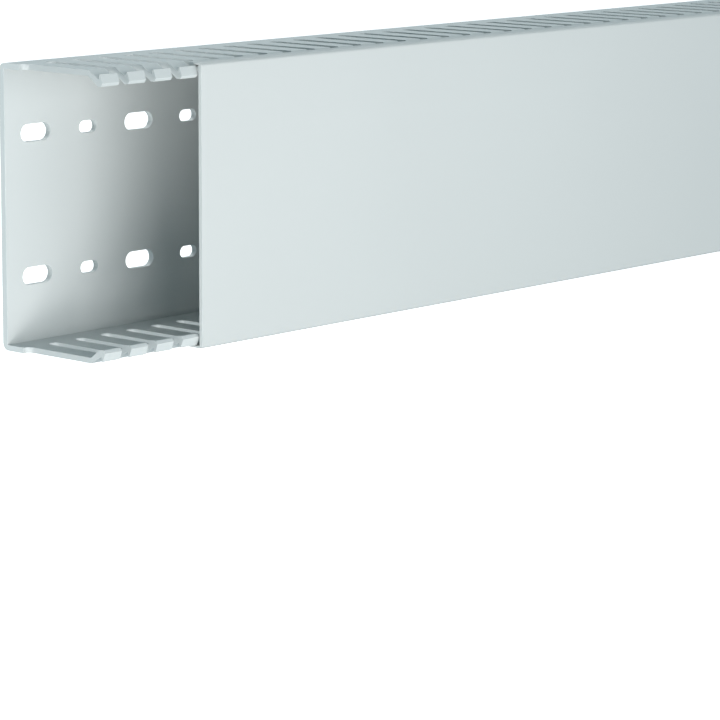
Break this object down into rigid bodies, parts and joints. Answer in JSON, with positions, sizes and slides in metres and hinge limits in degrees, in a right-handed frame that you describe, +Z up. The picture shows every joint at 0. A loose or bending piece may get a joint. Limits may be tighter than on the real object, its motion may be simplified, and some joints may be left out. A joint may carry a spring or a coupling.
{
  "type": "slotted wire duct",
  "caption": "Light grey channel with finger side walls and a punched base, for wiring in panels, with a clip-on cover that slides along it.",
  "frame": {"origin": "on the floor, at the middle of the rectangle that the duct and its slid cover stand over", "axes": "+X along the duct, towards the end that the cover overhangs; +Y from the cover to the punched base; +Z up, from the side wall that the duct lies on to the other one"},
  "size_m": [1.048, 0.05, 0.1],
  "materials": {
    "duct_pvc": "smooth extruded light grey rigid PVC, semi-matt",
    "cover_pvc": "smooth extruded light grey rigid PVC, semi-matt"
  },
  "bodies": {
    "duct": {"duct_body": "duct_pvc"},
    "cover": {"cover": "cover_pvc"}
  },
  "joints": [
    {"name": "cover_slide", "type": "slide", "parent": "duct", "child": "cover", "axis": [1, 0, 0], "range_m": [-0.048, 0.952]}
  ]
}
